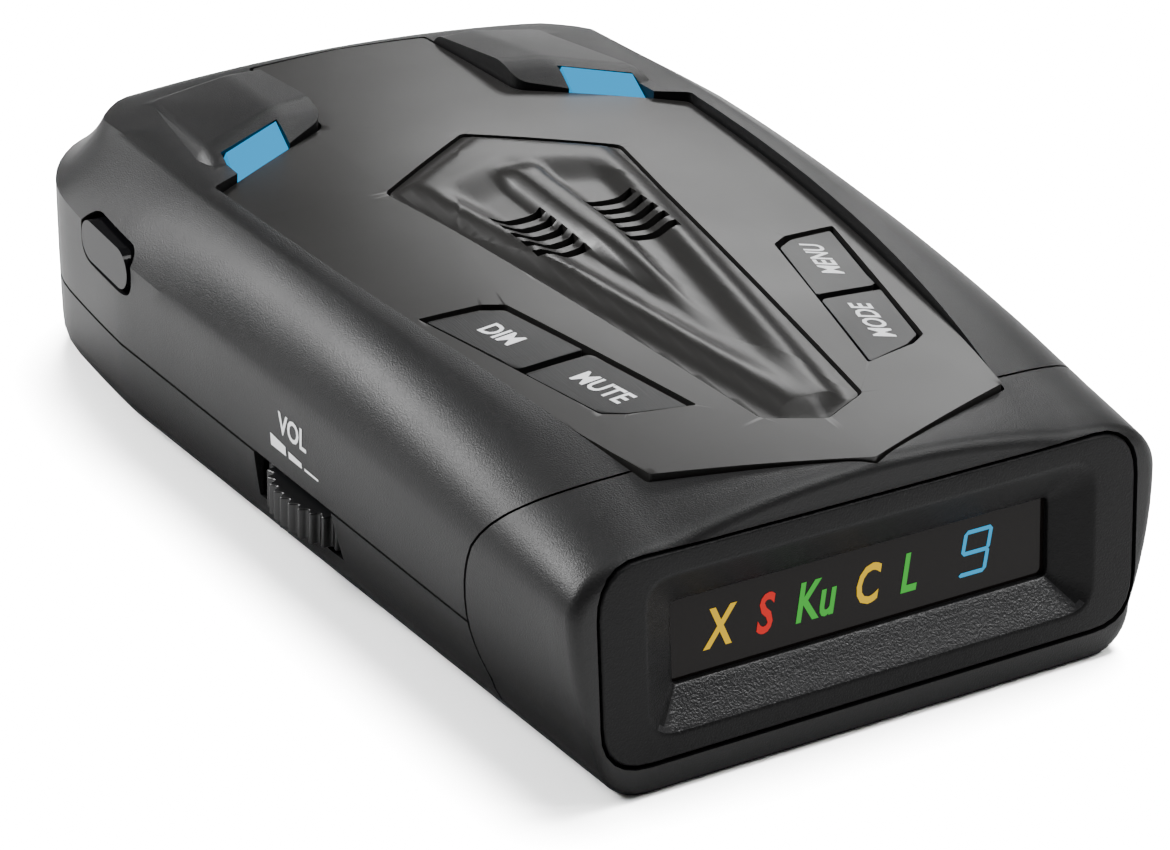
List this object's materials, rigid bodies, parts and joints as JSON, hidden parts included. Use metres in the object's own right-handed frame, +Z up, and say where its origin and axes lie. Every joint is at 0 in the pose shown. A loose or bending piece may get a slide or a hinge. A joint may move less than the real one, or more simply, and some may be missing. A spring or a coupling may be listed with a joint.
{
  "type": "radar detector",
  "caption": "Compact windscreen radar detector with a rear display, louvred top cowl, thumbwheel, press keys and alert lights.",
  "frame": {"origin": "middle of the underside of the case", "axes": "+Y along the length towards the antenna end, +X to the right as seen facing the display, +Z up"},
  "size_m": [0.0726, 0.108, 0.027],
  "materials": {
    "case_black": "fine grained black moulding",
    "trim_satin": "satin dark trim",
    "button_dark": "brushed dark keys",
    "piano_black": "glossy black",
    "wheel_black": "semi-gloss black",
    "window_dark": "smoked window",
    "lens_blue": "clear blue light window",
    "laser_red": "dark red window",
    "board_green": "solder mask",
    "part_black": "moulded component",
    "led_white": "phosphor and white moulding",
    "die_cast": "cast metal",
    "plated_steel": "plated steel",
    "magnet_dark": "coated magnet",
    "paper_black": "cone paper and cloth",
    "wire_sleeve": "insulated wire"
  },
  "bodies": {
    "case": {"lower_housing": "case_black", "upper_housing": "case_black", "display_collar": "case_black", "top_plate": "trim_satin", "speaker_cowl": "trim_satin", "display_bezel": "case_black", "display_window": "window_dark", "display_module": "part_black", "display_board": "board_green", "board_header": "part_black", "main_board": "board_green", "horn_antenna": "die_cast", "shield_can": "plated_steel", "speaker_frame": "plated_steel", "speaker_cone": "paper_black", "speaker_magnet": "magnet_dark", "speaker_cloth": "paper_black", "speaker_lead_plus": "wire_sleeve", "speaker_lead_minus": "wire_sleeve", "volume_pot": "part_black", "power_jack": "part_black", "laser_lens": "laser_red", "laser_sensor": "part_black", "alert_lens_left": "lens_blue", "alert_led_left": "led_white", "alert_lens_right": "lens_blue", "alert_led_right": "led_white", "processor_chip": "part_black", "audio_chip": "part_black", "filter_capacitor_1": "part_black", "filter_capacitor_2": "part_black", "release_spring": "plated_steel", "switch_dim": "part_black", "switch_mute": "part_black", "switch_menu": "part_black", "switch_mode": "part_black", "case_screw_1": "plated_steel", "case_screw_2": "plated_steel", "case_screw_3": "plated_steel", "case_screw_4": "plated_steel", "board_screw_1": "plated_steel", "board_screw_2": "plated_steel", "board_screw_3": "plated_steel"},
    "volume_wheel": {"volume_wheel": "wheel_black"},
    "release_button": {"release_button": "piano_black"},
    "button_dim": {"button_dim": "button_dark", "actuator_dim": "led_white"},
    "button_mute": {"button_mute": "button_dark", "actuator_mute": "led_white"},
    "button_menu": {"button_menu": "button_dark", "actuator_menu": "led_white"},
    "button_mode": {"button_mode": "button_dark", "actuator_mode": "led_white"}
  },
  "joints": [
    {"name": "volume_turn", "type": "hinge", "parent": "case", "child": "volume_wheel", "pos_m": [-0.02524, -0.0072, 0.0064], "axis": [0, 0, 1], "range_deg": [-120, 150]},
    {"name": "release_press", "type": "slide", "parent": "case", "child": "release_button", "axis": [1, 0, 0], "range_m": [0, 0.0015], "stiffness_N_per_m": 600, "springref_m": -0.001, "deforming": ["release_spring"]},
    {"name": "dim_press", "type": "slide", "parent": "case", "child": "button_dim", "axis": [0, 0, -1], "range_m": [0, 0.0005], "stiffness_N_per_m": 900, "springref_m": -0.0006},
    {"name": "mute_press", "type": "slide", "parent": "case", "child": "button_mute", "axis": [0, 0, -1], "range_m": [0, 0.0005], "stiffness_N_per_m": 900, "springref_m": -0.0006},
    {"name": "menu_press", "type": "slide", "parent": "case", "child": "button_menu", "axis": [0, 0, -1], "range_m": [0, 0.0005], "stiffness_N_per_m": 900, "springref_m": -0.0006},
    {"name": "mode_press", "type": "slide", "parent": "case", "child": "button_mode", "axis": [0, 0, -1], "range_m": [0, 0.0005], "stiffness_N_per_m": 900, "springref_m": -0.0006}
  ]
}
